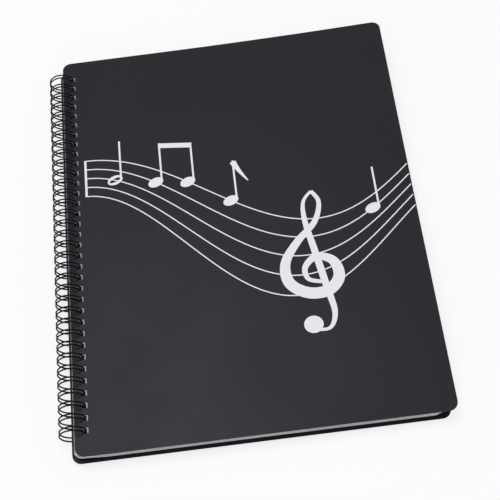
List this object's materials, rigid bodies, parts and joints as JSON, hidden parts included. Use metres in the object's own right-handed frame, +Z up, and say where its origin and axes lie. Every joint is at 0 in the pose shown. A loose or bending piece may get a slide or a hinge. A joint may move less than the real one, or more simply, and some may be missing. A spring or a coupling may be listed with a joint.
{
  "type": "music folder",
  "caption": "Flat portrait folder for sheet music: two plastic covers and a block of clear sleeves hung on one twin-loop wire along the spine.",
  "frame": {"origin": "under the middle of the folder, on the surface that it lies on", "axes": "+Z up, the front cover's side; +Y along the spine towards the head of the folder; +X from the spine to the fore-edge"},
  "size_m": [0.2454, 0.312, 0.0178],
  "materials": {
    "front_cover": "fine matt grain",
    "back_cover": "fine matt grain",
    "sleeves": "clear film, seen as a pale edge",
    "binding_wire": "satin black coating",
    "cover_ink": "matt screen ink"
  },
  "bodies": {
    "back_cover": {"back_cover": "back_cover", "wire_binding": "binding_wire"},
    "page_block": {"page_block": "sleeves"},
    "front_cover": {"front_cover": "front_cover", "cover_print": "cover_ink"}
  },
  "joints": [
    {"name": "page_block_turn", "type": "hinge", "parent": "back_cover", "child": "page_block", "pos_m": [-0.11375, 0, 0.00903], "axis": [0, -1, 0], "range_deg": [0, 180]},
    {"name": "front_cover_hinge", "type": "hinge", "parent": "page_block", "child": "front_cover", "pos_m": [-0.11375, 0, 0.00903], "axis": [0, -1, 0], "range_deg": [0, 180]}
  ]
}
